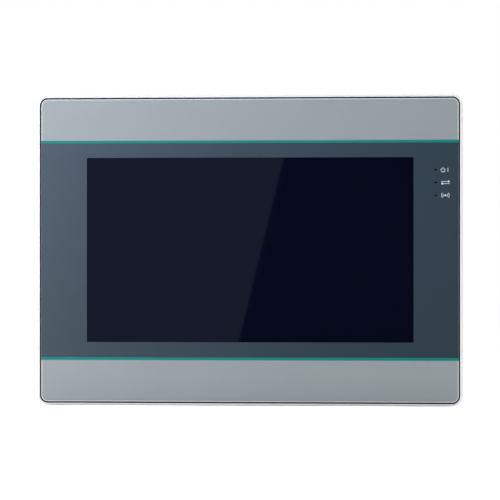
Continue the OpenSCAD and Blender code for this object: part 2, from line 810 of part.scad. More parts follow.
module clamp_bracket() {
    top = cover_h / 2;
    difference() {
        union() {
            block([-6, 9, top], [6, 22, top + 2.3]);
            block([-5, ear_y0, top + 2.2], [5, ear_y1, clamp_z + 2.25]);
            for (x = [-5, 3.8])
                translate([x, 0, 0]) rotate([90, 0, 90]) linear_extrude(1.2)
                    polygon([[9.5, top + 2.2], [ear_y0 + cut, top + 2.2], [ear_y0 + cut, clamp_z]]);
            for (hook = [-3, 3]) {
                block([hook - 1.5, 16, top - wall - 0.1], [hook + 1.5, 19, top + cut]);
                block([hook - 1.5, 16, top - wall - 1.5], [hook + 1.5, 21, top - wall - 0.05]);
            }
        }
        rod([0, clamp_z], clamp_screw_r + clearance, ear_y0 - cut, ear_y1 + cut);
    }
}

module clamp_brackets() {
    color([0.70, 0.71, 0.72]) for (which = [1 : 4]) at_clamp(which) clamp_bracket();
}

module clamp_foot(which) {
    color([0.12, 0.12, 0.13]) at_clamp(which) difference() {
        rod([0, clamp_z], foot_r, clamp_gap, clamp_gap + foot_long);
        rod([0, clamp_z], clamp_screw_r + clearance, clamp_gap + 1.8, clamp_gap + foot_long + cut);
    }
}

module clamp_screw(which) {
    color([0.82, 0.82, 0.83]) at_clamp(which)
        cross_screw([0, clamp_z], clamp_screw_r, 2.25, 2.2, screw_head_y, clamp_gap + 1.9);
}

module panel_gasket() {
    color([0.06, 0.06, 0.07]) slab(y_flange - 1.2, 0) gasket_ring(0.1);
}

front_bezel();
front_overlay();
indicator_lenses();
touch_film();
touch_glass();
touch_tail();
bonding_tapes();
lcd_frame();
lcd_cell();
light_guide();
lcd_rear_pan();
lcd_ribbon();
chassis_plate();
internal_screws();
panel_gasket();
main_board();
processor();
heat_sink();
board_chips();
ribbon_sockets();
power_inductors();
capacitors();
battery_holder();
coin_cell();
buzzer();
led_board();
indicator_leds();
light_pipes();
power_header();
power_pins();
terminal_plug();
plug_contacts();
terminal_screw(1);  // terminal_screw_1
terminal_screw(2);  // terminal_screw_2
terminal_screw(3);  // terminal_screw_3
wire_clamp(1);  // wire_clamp_1
wire_clamp(2);  // wire_clamp_2
wire_clamp(3);  // wire_clamp_3
serial_shells();
serial_inserts();
jack_posts();
usb_shells();
usb_inserts();
ethernet_shell();
ethernet_insert();
rear_cover();
cover_screws();
rating_label();
dip_body();
dip_slider(1);  // dip_slider_1
dip_slider(2);  // dip_slider_2
clamp_brackets();
clamp_foot(1);  // clamp_foot_1
clamp_foot(2);  // clamp_foot_2
clamp_foot(3);  // clamp_foot_3
clamp_foot(4);  // clamp_foot_4
clamp_screw(1);  // clamp_screw_1
clamp_screw(2);  // clamp_screw_2
clamp_screw(3);  // clamp_screw_3
clamp_screw(4);  // clamp_screw_4
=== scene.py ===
"""Looks of a panel-mount operator touch panel: studio, camera, materials and fine pieces.

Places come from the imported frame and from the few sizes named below, which repeat the design's own.
X is the width, Y runs into the cabinet and Z is up.
"""
import math

import bmesh
import bpy
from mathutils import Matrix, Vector
from mathutils.geometry import delaunay_2d_cdt


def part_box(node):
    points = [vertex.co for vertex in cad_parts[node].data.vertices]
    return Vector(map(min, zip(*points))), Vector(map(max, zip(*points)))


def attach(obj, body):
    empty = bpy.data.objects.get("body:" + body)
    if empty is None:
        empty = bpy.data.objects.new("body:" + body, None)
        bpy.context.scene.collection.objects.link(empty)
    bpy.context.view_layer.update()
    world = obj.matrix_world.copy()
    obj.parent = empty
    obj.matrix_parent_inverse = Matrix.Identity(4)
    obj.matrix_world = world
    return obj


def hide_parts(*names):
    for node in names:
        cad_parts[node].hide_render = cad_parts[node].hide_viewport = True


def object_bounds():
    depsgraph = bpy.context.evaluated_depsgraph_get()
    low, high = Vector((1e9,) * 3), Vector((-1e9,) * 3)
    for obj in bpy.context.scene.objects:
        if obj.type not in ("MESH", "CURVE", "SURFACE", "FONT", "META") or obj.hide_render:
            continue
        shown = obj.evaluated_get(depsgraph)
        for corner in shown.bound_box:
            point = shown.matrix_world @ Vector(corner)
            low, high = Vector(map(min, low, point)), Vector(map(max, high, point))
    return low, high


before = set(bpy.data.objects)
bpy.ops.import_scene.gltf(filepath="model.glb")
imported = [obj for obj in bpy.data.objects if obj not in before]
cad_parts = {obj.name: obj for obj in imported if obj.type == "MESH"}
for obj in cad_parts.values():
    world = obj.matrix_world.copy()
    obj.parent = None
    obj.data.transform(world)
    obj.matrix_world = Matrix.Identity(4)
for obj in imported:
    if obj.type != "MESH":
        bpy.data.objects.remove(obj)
cad_low, cad_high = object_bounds()

MM = 0.001
TAU = 2 * math.pi


# ---------------------------------------------------------------- places from the frame

def low(node):
    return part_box(node)[0]


def high(node):
    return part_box(node)[1]


def middle(node):
    return (low(node) + high(node)) / 2


overlay_low, overlay_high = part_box("front_overlay")
lens_low, lens_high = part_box("indicator_lenses")

# The printed front, in millimetres. TEAL_OUTER and TEAL_INNER are a teal stripe's edges above and below
# the middle, the window and the slots are holes in the overlay, and EDGE_HIGHLIGHT_WIDTH is the width of a
# lighter band along the overlay's cut edge in its silver parts: a painted highlight of that edge
TEAL_OUTER = 51.58
TEAL_INNER = 50.25
WINDOW_W = 154.6
WINDOW_H = 86.6
WINDOW_UP = middle("touch_film").z / MM
WINDOW_RIGHT = 0.3
WINDOW_CORNER = 0.3
OVERLAY_CORNER = 2.95
EDGE_HIGHLIGHT_WIDTH = 0.37
SLOT_H = 0.6
SLOT_CORNER = 0.12
OVERLAY_ROUNDING = 0.09

# The signs beside the indicator slots, in millimetres: their left edge and the width of their lines
ICON_LEFT = 90.4
ICON_LINE = 0.24

# How far the prints and the moulded marks stand out of their faces and reach into them, in millimetres
ICON_OUT, ICON_IN = 0.03, 0.02
LABEL_OUT, LABEL_IN = 0.03, 0.01
MARK_OUT, MARK_IN = 0.06, 0.02

# Ports in the cable bay, in millimetres: where the sockets are, and the places and sizes of their contacts
NETWORK_PITCH = 1.02
NETWORK_WIRE_RADIUS = 0.2
SERIAL_XS = (19, 55)
SERIAL_Y = 19.4
SERIAL_PIN_PITCH = 2.77
SERIAL_PIN_ROW = 1.42
SLEEVE_INNER, SLEEVE_OUTER = 0.36, 0.52
SLEEVE_FROM, SLEEVE_TO = 0.25, 4.2
USB_HOST_W = 12.3
USB_HOST_LEAVES = (-3.5, -1.0, 1.0, 3.5)
USB_HOST_LEAF_HALF = 0.5
USB_HOST_LEAF_Z = (-33.0, -25.4)
USB_HOST_LEAF_Y = (16.48, 16.7)
USB_DEVICE = (-23, 18.5)
USB_DEVICE_LEAVES = (-1.25, 1.25)
USB_DEVICE_LEAF_HALF = 0.45
USB_DEVICE_LEAF_Z = (-32.4, -25.0)
USB_DEVICE_TONGUE_HALF = 1.6
PLUG_MARK_Z = -41.4

# The clamps' machine screws, in millimetres
THREAD_RADIUS = 1.49
THREAD_PITCH = 0.5
THREAD_DEPTH = 0.27
HEAD_RADIUS = 2.24
HEAD_HEIGHT = 2.2


# ---------------------------------------------------------------- camera and studio

CAMERA_DISTANCE = 2.498
CAMERA_AZIMUTH = math.radians(8.02)
CAMERA_ELEVATION = math.radians(-0.088)
CAMERA_LENS = 383.85
CAMERA_AIM = Vector((0.53 * MM, overlay_low.y, 0.157 * MM))

# Strengths of the surroundings: as a light, and in reflections from the front, above and behind
WORLD_DIFFUSE = 0.41
GLOSS_FRONT = 0.016
GLOSS_ABOVE = 0.9
GLOSS_BEHIND = 0.75

# Where those reflections brighten: the Z, and the Y, of a direction of length 1
ABOVE_FROM, ABOVE_TO = 0.25, 0.95
BEHIND_FROM, BEHIND_TO = -0.35, 0.5

# The light table: sizes in metres, the strength of its glow, and the width of the soft border of the painted
# contact shadow round the object, where the glow is left out
FLOOR_HALF = 1.4
FLOOR_GAP = 0.05 * MM
FLOOR_GLOW = 0.96
PAINTED_SHADOW_BORDER = 0.007

# The card that the display mirrors: its place and width in metres, how far it runs on at each end as a
# share of its edge, and the points (x, z) in millimetres where the edge crosses the display's ends
CARD_Y = -0.8
CARD_WIDTH = 0.19
CARD_PAST = 0.8
CARD_EDGE_TOP = (16.4, 43.2)
CARD_EDGE_BOTTOM = (-4.9, -42.8)


def make_camera():
    data = bpy.data.cameras.new("camera")
    data.lens = CAMERA_LENS
    data.sensor_width = 36
    data.clip_start = 0.05
    data.clip_end = 60
    camera = bpy.data.objects.new("camera", data)
    bpy.context.scene.collection.objects.link(camera)
    back = Vector((
        math.sin(CAMERA_AZIMUTH) * math.cos(CAMERA_ELEVATION),
        -math.cos(CAMERA_AZIMUTH) * math.cos(CAMERA_ELEVATION),
        math.sin(CAMERA_ELEVATION),
    ))
    camera.location = CAMERA_AIM + back * CAMERA_DISTANCE
    camera.rotation_mode = "QUATERNION"
    camera.rotation_quaternion = (-back).to_track_quat("-Z", "Y")
    bpy.context.scene.camera = camera
    return camera


def area_light(name, place, aim, size, power, color=(1, 1, 1), sheen_only=False):
    data = bpy.data.lights.new(name, "AREA")
    data.shape = "RECTANGLE"
    data.size, data.size_y = size
    data.energy = power
    data.color = color
    light = bpy.data.objects.new(name, data)
    light.location = place
    light.rotation_mode = "QUATERNION"
    light.rotation_quaternion = (Vector(aim) - Vector(place)).to_track_quat("-Z", "Y")
    light.visible_camera = False
    light.visible_diffuse = not sheen_only
    bpy.context.scene.collection.objects.link(light)


def make_world():
    """White to the camera, soft white as a light, and in reflections brighter above and behind."""
    world = bpy.data.worlds.new("studio")
    bpy.context.scene.world = world
    world.use_nodes = True
    nodes, links = world.node_tree.nodes, world.node_tree.links
    nodes.clear()
    out = nodes.new("ShaderNodeOutputWorld")
    path = nodes.new("ShaderNodeLightPath")
    place = nodes.new("ShaderNodeTexCoord")
    split = nodes.new("ShaderNodeSeparateXYZ")
    links.new(place.outputs["Generated"], split.inputs[0])

    def ramp(source, start, end, dark, bright):
        node = nodes.new("ShaderNodeMapRange")
        node.interpolation_type = "SMOOTHSTEP"
        values = {"From Min": start, "From Max": end, "To Min": dark, "To Max": bright}
        for socket, value in values.items():
            node.inputs[socket].default_value = value
        links.new(source, node.inputs["Value"])
        return node.outputs["Result"]

    def background(strength):
        node = nodes.new("ShaderNodeBackground")
        node.inputs["Color"].default_value = (1, 1, 1, 1)
        if isinstance(strength, (int, float)):
            node.inputs["Strength"].default_value = strength
        else:
            links.new(strength, node.inputs["Strength"])
        return node.outputs[0]

    def mix(factor, first, second):
        node = nodes.new("ShaderNodeMixShader")
        links.new(factor, node.inputs[0])
        links.new(first, node.inputs[1])
        links.new(second, node.inputs[2])
        return node.outputs[0]

    above = ramp(split.outputs["Z"], ABOVE_FROM, ABOVE_TO, GLOSS_FRONT, GLOSS_ABOVE)
    behind = ramp(split.outputs["Y"], BEHIND_FROM, BEHIND_TO, 0, GLOSS_BEHIND)
    total = nodes.new("ShaderNodeMath")
    total.operation = "ADD"
    links.new(above, total.inputs[0])
    links.new(behind, total.inputs[1])
    soft = background(WORLD_DIFFUSE)
    glossy = mix(path.outputs["Is Glossy Ray"], soft, background(total.outputs[0]))
    final = mix(path.outputs["Is Camera Ray"], glossy, background(1.0))
    links.new(final, out.inputs["Surface"])


def make_lights():
    """Places, aims and sizes in metres, powers in watts. The sheen shows only as a bluish reflection."""
    centre, left_half = (0, 0, 0), (-0.06, 0, 0.03)
    cool, blue = (0.95, 0.98, 1.0), (0.55, 0.64, 1.0)
    area_light("key_left", (-0.42, -0.46, 0.08), left_half, (0.4, 0.4), 2.8, cool)
    area_light("sheen_left", (-0.28, -0.38, 0.33), left_half, (0.4, 0.4), 4.65, blue, sheen_only=True)
    area_light("fill_right", (1.3, -1.0, 0.5), centre, (0.8, 0.8), 1.0)
    area_light("top", (0, 0.1, 1.3), centre, (1.2, 0.9), 4)
    area_light("back_left", (1.0, 1.2, 0.75), centre, (0.9, 0.7), 16)
    area_light("back_right", (-1.2, 0.9, 0.3), centre, (0.6, 0.9), 8)


def emission_material(name, color, strength):
    material = bpy.data.materials.new(name)
    material.use_nodes = True
    nodes, links = material.node_tree.nodes, material.node_tree.links
    nodes.clear()
    out = nodes.new("ShaderNodeOutputMaterial")
    glow = nodes.new("ShaderNodeEmission")
    glow.inputs["Color"].default_value = (*color, 1)
    glow.inputs["Strength"].default_value = strength
    links.new(glow.outputs[0], out.inputs["Surface"])
    return material


def make_reflection_card(camera):
    """A dim panel beside the camera. The display mirrors its slanted right edge."""
    face_y = low("touch_film").y
    mirrored = Vector((camera.location.x, 2 * face_y - camera.location.y, camera.location.z))

    def on_card(x, z):
        point = Vector((x * MM, face_y, z * MM))
        reach = (CARD_Y - mirrored.y) / (face_y - mirrored.y)
        return mirrored + (point - mirrored) * reach

    upper, lower = on_card(*CARD_EDGE_TOP), on_card(*CARD_EDGE_BOTTOM)
    along = upper - lower
    start, end = lower - along * CARD_PAST, upper + along * CARD_PAST
    left = Vector((-CARD_WIDTH, 0, 0))
    mesh = bpy.data.meshes.new("reflection_card")
    mesh.from_pydata([start, end, end + left, start + left], [], [(0, 1, 2, 3)])
    mesh.materials.append(emission_material("card_glow", (0.62, 0.68, 1.0), 0.30))
    card = bpy.data.objects.new("reflection_card", mesh)
    bpy.context.scene.collection.objects.link(card)
    card.visible_camera = False
    card.visible_diffuse = False
    card.visible_shadow = False
    card.visible_transmission = False


def floor_glow_with_painted_shadow(tree):
    """The light table's glow with a painted contact shadow: no glow under the object, and full past a soft
    border PAINTED_SHADOW_BORDER wide.

    The border runs outside the object's front and back, and inside its left and right sides.
    """
    coordinates = tree.nodes.new("ShaderNodeTexCoord")

    def vector_math(operation, first, second):
        node = tree.nodes.new("ShaderNodeVectorMath")
        node.operation = operation
        tree.links.new(first, node.inputs[0])
        if second is not None:
            node.inputs[1].default_value = second
        return node

    half = (cad_high - cad_low) / 2
    middle_place = (cad_high + cad_low) / 2
    inward = vector_math("SUBTRACT", coordinates.outputs["Object"], (middle_place.x, middle_place.y, 0))
    size = vector_math("ABSOLUTE", inward.outputs[0], None)
    past = vector_math("SUBTRACT", size.outputs[0], (half.x - PAINTED_SHADOW_BORDER, half.y, 1))
    outside = vector_math("MAXIMUM", past.outputs[0], (0, 0, 0))
    distance = vector_math("LENGTH", outside.outputs[0], None)
    # The painted contact shadow: the glow rises from none to full across the border
    fade = tree.nodes.new("ShaderNodeMapRange")
    fade.interpolation_type = "SMOOTHSTEP"
    fade.inputs["From Max"].default_value = PAINTED_SHADOW_BORDER
    fade.inputs["To Max"].default_value = FLOOR_GLOW
    tree.links.new(distance.outputs["Value"], fade.inputs["Value"])
    return fade.outputs["Result"]


def make_floor():
    """A white glowing table, just under the object, with a painted contact shadow round it where its glow is
    left out.
    """
    mesh = bpy.data.meshes.new("floor")
    height = cad_low.z - FLOOR_GAP
    sides = ((-1, -1), (1, -1), (1, 1), (-1, 1))
    mesh.from_pydata([(x * FLOOR_HALF, y * FLOOR_HALF, height) for x, y in sides], [], [(0, 1, 2, 3)])
    material, shader, tree = principled("floor_paint", (0.88, 0.88, 0.88), 0.9, specular=0.0)
    shader.inputs["Emission Color"].default_value = (1, 1, 1, 1)
    tree.links.new(floor_glow_with_painted_shadow(tree), shader.inputs["Emission Strength"])
    mesh.materials.append(material)
    floor = bpy.data.objects.new("floor", mesh)
    bpy.context.scene.collection.objects.link(floor)
    floor.visible_glossy = False


# ---------------------------------------------------------------- material tools

# Places of a Mix node's colour sockets
MIX_FIRST, MIX_SECOND, MIX_RESULT = 6, 7, 2


def principled(name, color, roughness, metallic=0.0, specular=0.5):
    """A plain start: (material, shader, node tree). Colours are linear."""
    material = bpy.data.materials.new(name)
    material.use_nodes = True
    shader = material.node_tree.nodes["Principled BSDF"]
    shader.inputs["Base Color"].default_value = (*color, 1)
    shader.inputs["Roughness"].default_value = roughness
    shader.inputs["Metallic"].default_value = metallic
    shader.inputs["Specular IOR Level"].default_value = specular
    return material, shader, material.node_tree


def object_coordinates(tree, stretch=(1, 1, 1)):
    coordinates = tree.nodes.new("ShaderNodeTexCoord")
    mapping = tree.nodes.new("ShaderNodeMapping")
    mapping.inputs["Scale"].default_value = stretch
    tree.links.new(coordinates.outputs["Object"], mapping.inputs["Vector"])
    return mapping.outputs["Vector"]


def noise(tree, size, detail, stretch=(1, 1, 1)):
    """Noise with features of about size metres."""
    node = tree.nodes.new("ShaderNodeTexNoise")
    node.inputs["Scale"].default_value = 1 / size
    node.inputs["Detail"].default_value = detail
    tree.links.new(object_coordinates(tree, stretch), node.inputs["Vector"])
    return node.outputs["Fac"]


def spread(tree, value, low_value, high_value, start=0.3, end=0.7):
    """Maps a value between start and end to between low_value and high_value."""
    node = tree.nodes.new("ShaderNodeMapRange")
    node.inputs["From Min"].default_value = start
    node.inputs["From Max"].default_value = end
    node.inputs["To Min"].default_value = low_value
    node.inputs["To Max"].default_value = high_value
    tree.links.new(value, node.inputs["Value"])
    return node.outputs["Result"]


def mix_colors(tree, factor, first, second):
    node = tree.nodes.new("ShaderNodeMix")
    node.data_type = "RGBA"
    tree.links.new(factor, node.inputs["Factor"])
    node.inputs[MIX_FIRST].default_value = (*first, 1)
    node.inputs[MIX_SECOND].default_value = (*second, 1)
    return node.outputs[MIX_RESULT]


def bump(tree, shader, height, distance):
    node = tree.nodes.new("ShaderNodeBump")
    node.inputs["Distance"].default_value = distance
    tree.links.new(height, node.inputs["Height"])
    tree.links.new(node.outputs["Normal"], shader.inputs["Normal"])


def shade(color, factor):
    return tuple(min(1.0, c * factor) for c in color)


def varied(tree, value, color, first, last, start=0.3, end=0.7):
    """The colour times first to last, as the value goes from start to end."""
    factor = spread(tree, value, 0, 1, start, end)
    return mix_colors(tree, factor, shade(color, first), shade(color, last))


def moulded(name, color, roughness, grain=0.35 * MM, depth=0.02 * MM, variation=0.06):
    """Plastic from a mould: fine eroded grain, slight flow marks in colour and gloss."""
    material, shader, tree = principled(name, color, roughness, specular=0.4)
    flow = noise(tree, 22 * MM, 3)
    tree.links.new(varied(tree, flow, color, 1 - variation, 1 + variation), shader.inputs["Base Color"])
    fine = noise(tree, grain, 3)
    tree.links.new(spread(tree, fine, roughness - 0.06, roughness + 0.08), shader.inputs["Roughness"])
    bump(tree, shader, fine, depth)
    return material


def gloss_plastic(name, color, roughness):
    """Smooth clear or dark plastic, slightly cloudy in colour and gloss."""
    material, shader, tree = principled(name, color, roughness)
    cloudy = noise(tree, 6 * MM, 3)
    tree.links.new(varied(tree, cloudy, color, 0.96, 1.04), shader.inputs["Base Color"])
    tree.links.new(spread(tree, cloudy, roughness, roughness + 0.08), shader.inputs["Roughness"])
    return material


# Stretches that draw a metal's grain out along one axis, or along none
EVEN = (1, 1, 1)
LAY_X = (0.04, 1, 1)
LAY_Y = (1, 0.05, 1)
LAY_Z = (1, 1, 0.04)


def metal(name, color, roughness, lay=EVEN, grain=0.25 * MM, depth=0.004 * MM):
    """Metal with fine marks of its making along the lay."""
    material, shader, tree = principled(name, color, roughness, metallic=1.0)
    marks = noise(tree, grain, 4, lay)
    cloudy = noise(tree, 9 * MM, 3)
    tree.links.new(varied(tree, cloudy, color, 0.92, 1.08), shader.inputs["Base Color"])
    tree.links.new(spread(tree, marks, roughness - 0.07, roughness + 0.1), shader.inputs["Roughness"])
    bump(tree, shader, marks, depth)
    return material


# ---------------------------------------------------------------- materials

def printed_film(name, color, fleck, roughness=0.33, specular=0.5):
    """Matt polyester over its print: a sandy hard coat, with tiny flecks and faint clouds in the ink."""
    material, shader, tree = principled(name, color, roughness, specular=specular)
    flecks = noise(tree, 0.28 * MM, 2)
    clouds = noise(tree, 35 * MM, 2)
    both = tree.nodes.new("ShaderNodeMix")
    both.data_type = "RGBA"
    both.inputs["Factor"].default_value = 0.5
    tree.links.new(varied(tree, flecks, color, 1 - fleck, 1 + fleck, 0.35, 0.65), both.inputs[MIX_FIRST])
    tree.links.new(varied(tree, clouds, color, 0.97, 1.03), both.inputs[MIX_SECOND])
    tree.links.new(both.outputs[MIX_RESULT], shader.inputs["Base Color"])
    bump(tree, shader, noise(tree, 0.16 * MM, 3), 0.006 * MM)
    return material


def touch_face():
    """Dark hard-coated film over the unlit display: clean gloss with the faintest smears."""
    material, shader, tree = principled("touch_face", (0.0010, 0.0018, 0.0078), 0.02)
    smears = noise(tree, 30 * MM, 4, (1, 1, 0.4))
    tree.links.new(spread(tree, smears, 0.016, 0.026, 0.35, 0.75), shader.inputs["Roughness"])
    return material


def circuit_board():
    """Green solder resist with groups of parallel copper tracks showing through as lighter lines."""
    resist = (0.012, 0.085, 0.035)
    track = (0.03, 0.15, 0.06)
    track_width = 0.12 * MM
    track_pitch = 0.7 * MM
    past_the_board = 400 * MM
    group_size = 7 * MM
    material, shader, tree = principled("solder_resist", resist, 0.3)
    lines = tree.nodes.new("ShaderNodeTexBrick")
    lines.inputs["Scale"].default_value = 1
    lines.inputs["Mortar Size"].default_value = track_width
    lines.inputs["Brick Width"].default_value = past_the_board
    lines.inputs["Row Height"].default_value = track_pitch
    turn = tree.nodes.new("ShaderNodeMapping")
    turn.inputs["Rotation"].default_value = (math.radians(90), 0, 0)
    tree.links.new(object_coordinates(tree), turn.inputs["Vector"])
    tree.links.new(turn.outputs["Vector"], lines.inputs["Vector"])
    groups = tree.nodes.new("ShaderNodeMath")
    groups.operation = "MULTIPLY"
    tree.links.new(lines.outputs["Fac"], groups.inputs[0])
    tree.links.new(spread(tree, noise(tree, group_size, 1), 0, 1, 0.47, 0.49), groups.inputs[1])
    tree.links.new(mix_colors(tree, groups.outputs[0], resist, track), shader.inputs["Base Color"])
    bump(tree, shader, groups.outputs[0], 0.03 * MM)
    return material


def rubber(name, color):
    """Dull rubber or foam with fine pores."""
    material, shader, tree = principled(name, color, 0.75, specular=0.25)
    pores = noise(tree, 0.5 * MM, 4)
    tree.links.new(varied(tree, pores, color, 0.75, 1.35), shader.inputs["Base Color"])
    bump(tree, shader, pores, 0.05 * MM)
    return material


def foil(name, color):
    """A thin metallised label with a faint lay."""
    material, shader, tree = principled(name, color, 0.38, metallic=0.85)
    lay = noise(tree, 0.3 * MM, 3, LAY_X)
    tree.links.new(spread(tree, lay, 0.3, 0.48), shader.inputs["Roughness"])
    bump(tree, shader, lay, 0.003 * MM)
    return material


def amber_flex():
    """Amber ribbon with darker conductors along it."""
    color = (0.52, 0.22, 0.035)
    material, shader, tree = principled("amber_flex", color, 0.3)
    lines = tree.nodes.new("ShaderNodeTexWave")
    lines.bands_direction = "X"
    lines.inputs["Scale"].default_value = 1 / (3.2 * MM)
    tree.links.new(object_coordinates(tree), lines.inputs["Vector"])
    tree.links.new(varied(tree, lines.outputs["Fac"], color, 1, 0.55, 0.4, 0.6), shader.inputs["Base Color"])
    return material


def make_materials():
    """Every material under a short name: its colour and roughness, then its grain's size and depth."""
    coarse = {"grain": 0.55 * MM, "depth": 0.05 * MM, "variation": 0.05}
    nylon = {"grain": 0.25 * MM, "depth": 0.015 * MM}
    connector = {"grain": 0.2 * MM, "depth": 0.01 * MM}
    return {
        "bezel": moulded("bezel_plastic", (0.60, 0.605, 0.615), 0.38, 0.3 * MM, 0.008 * MM, 0.02),
        "silver": printed_film("silver_print", (0.219, 0.242, 0.252), 0.035),
        # Lighter than the silver print, for the strip along the overlay's cut edge: a painted highlight of
        # that edge
        "edge_highlight_band": printed_film("film_edge_painted_highlight", (0.56, 0.59, 0.62), 0.02),
        "slate": printed_film("slate_print", (0.0142, 0.0325, 0.0480), 0.05),
        "teal": printed_film("teal_print", (0.0008, 0.158, 0.142), 0.03, roughness=0.36, specular=0.15),
        "white_print": printed_film("white_print", (0.60, 0.62, 0.65), 0.02),
        "lens": gloss_plastic("lens", (0.002, 0.002, 0.003), 0.12),
        "touch": touch_face(),
        "glass": gloss_plastic("edge_glass", (0.2, 0.3, 0.3), 0.06),
        # Real foam tape; its near-black colour also paints the shade in the gap round the overlay, where it
        # shows
        "tape": rubber("foam_tape_painted_gap_shade", (0.005, 0.005, 0.006)),
        "display": gloss_plastic("display_glass", (0.004, 0.005, 0.008), 0.06),
        "milky": gloss_plastic("diffuser", (0.82, 0.84, 0.82), 0.3),
        "sheet": metal("zinc_sheet", (0.50, 0.51, 0.53), 0.34, LAY_X),
        "nickel": metal("nickel_screw", (0.66, 0.65, 0.63), 0.24),
        "black_oxide": metal("black_oxide", (0.055, 0.055, 0.06), 0.36),
        "gasket": rubber("gasket_rubber", (0.010, 0.010, 0.011)),
        "flex": amber_flex(),
        "board": circuit_board(),
        "chip": moulded("chip_epoxy", (0.014, 0.014, 0.015), 0.5, grain=0.15 * MM),
        "cream": moulded("socket_nylon", (0.68, 0.62, 0.48), 0.45, grain=0.2 * MM),
        "alloy": metal("extruded_alloy", (0.72, 0.73, 0.75), 0.3, LAY_Z),
        "can": metal("drawn_can", (0.78, 0.79, 0.8), 0.26, LAY_Y),
        "green": moulded("terminal_green", (0.012, 0.19, 0.06), 0.42, grain=0.25 * MM, depth=0.012 * MM),
        "tinned": metal("tinned_contact", (0.72, 0.68, 0.58), 0.28),
        "gold": metal("gold_contact", (0.95, 0.66, 0.25), 0.2),
        "shell": metal("tinned_shell", (0.70, 0.70, 0.67), 0.26, LAY_Z),
        "black_insert": moulded("black_insert", (0.012, 0.012, 0.013), 0.4, **connector),
        "white_insert": moulded("white_insert", (0.74, 0.74, 0.70), 0.38, **connector),
        "cover": moulded("cover_plastic", (0.030, 0.032, 0.035), 0.52, **coarse),
        "label": foil("label_foil", (0.62, 0.63, 0.64)),
        "label_ink": moulded("label_ink", (0.02, 0.02, 0.022), 0.5),
        "red": moulded("switch_red", (0.38, 0.012, 0.012), 0.4, **connector),
        "white_slider": moulded("slider_white", (0.82, 0.82, 0.78), 0.38, **connector),
        "zinc": metal("zinc_clamp", (0.44, 0.45, 0.47), 0.42, grain=0.8 * MM, depth=0.01 * MM),
        "foot": moulded("foot_nylon", (0.012, 0.012, 0.013), 0.5, **nylon),
    }


# ---------------------------------------------------------------- CAD nodes

# Node: (material, bevel width in mm)
NODE_LOOKS = {
    "front_bezel": ("bezel", 0.13),
    "indicator_lenses": ("lens", 0.0),
    "touch_film": ("touch", 0.0),
    "touch_glass": ("glass", 0.1),
    "touch_tail": ("flex", 0.0),
    "bonding_tapes": ("tape", 0.0),
    "lcd_frame": ("sheet", 0.12),
    "lcd_cell": ("display", 0.1),
    "light_guide": ("milky", 0.1),
    "lcd_rear_pan": ("sheet", 0.12),
    "lcd_ribbon": ("flex", 0.0),
    "chassis_plate": ("sheet", 0.15),
    "internal_screws": ("nickel", 0.12),
    "panel_gasket": ("gasket", 0.45),
    "main_board": ("board", 0.1),
    "processor": ("chip", 0.15),
    "heat_sink": ("alloy", 0.15),
    "board_chips": ("chip", 0.12),
    "ribbon_sockets": ("cream", 0.12),
    "power_inductors": ("chip", 0.5),
    "capacitors": ("can", 0.4),
    "battery_holder": ("black_insert", 0.15),
    "coin_cell": ("nickel", 0.2),
    "buzzer": ("black_insert", 0.3),
    "led_board": ("board", 0.05),
    "indicator_leds": ("milky", 0.1),
    "light_pipes": ("milky", 0.1),
    "power_header": ("green", 0.15),
    "power_pins": ("tinned", 0.12),
    "terminal_plug": ("green", 0.22),
    "plug_contacts": ("tinned", 0.08),
    "serial_shells": ("shell", 0.12),
    "serial_inserts": ("black_insert", 0.1),
    "jack_posts": ("nickel", 0.2),
    "usb_shells": ("shell", 0.12),
    "usb_inserts": ("white_insert", 0.15),
    "ethernet_shell": ("shell", 0.12),
    "ethernet_insert": ("black_insert", 0.15),
    "rear_cover": ("cover", 0.35),
    "cover_screws": ("black_oxide", 0.18),
    "rating_label": ("label", 0.05),
    "dip_body": ("red", 0.15),
    "clamp_brackets": ("zinc", 0.25),
}
for index in (1, 2, 3):
    NODE_LOOKS[f"terminal_screw_{index}"] = ("nickel", 0.12)
    NODE_LOOKS[f"wire_clamp_{index}"] = ("tinned", 0.12)
for index in (1, 2):
    NODE_LOOKS[f"dip_slider_{index}"] = ("white_slider", 0.12)
for index in (1, 2, 3, 4):
    NODE_LOOKS[f"clamp_foot_{index}"] = ("foot", 0.3)
    NODE_LOOKS[f"clamp_screw_{index}"] = ("nickel", 0.2)


def soften_edges(piece, width, segments=3):
    """Rounds a piece's sharp edges by width mm with modifiers, leaving its own mesh alone."""
    weld = piece.modifiers.new("weld", "WELD")
    weld.merge_threshold = 0.002 * MM
    flat = piece.modifiers.new("flat", "DECIMATE")
    flat.decimate_type = "DISSOLVE"
    flat.angle_limit = math.radians(0.6)
    flat.delimit = {"NORMAL"}
    edge = piece.modifiers.new("edge", "BEVEL")
    edge.width = width * MM
    edge.segments = segments
    edge.limit_method = "ANGLE"
    edge.angle_limit = math.radians(35)
    edge.use_clamp_overlap = True
    edge.harden_normals = False
    even = piece.modifiers.new("even", "WEIGHTED_NORMAL")
    even.keep_sharp = False
    even.weight = 80


def dress_nodes(materials):
    """Gives each CAD node its material and its rounded edges."""
    for name, (look, width) in NODE_LOOKS.items():
        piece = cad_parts[name]
        for slot in piece.material_slots:
            slot.material = materials[look]
        if width:
            soften_edges(piece, width)


# ---------------------------------------------------------------- mesh tools

def add_piece(name, mesh, materials, body="panel"):
    """Shows a mesh as one piece that moves with a body."""
    piece = bpy.data.objects.new(name, mesh)
    bpy.context.scene.collection.objects.link(piece)
    for material in materials:
        mesh.materials.append(material)
    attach(piece, body)
    return piece


def arc(centre, radius, start, end, steps):
    """Points along an arc, angles in degrees."""
    return [(centre[0] + radius * math.cos(math.radians(start + (end - start) * i / steps)),
             centre[1] + radius * math.sin(math.radians(start + (end - start) * i / steps)))
            for i in range(steps + 1)]


def circle(centre, radius, steps):
    return arc(centre, radius, 0, 360, steps)[:-1]


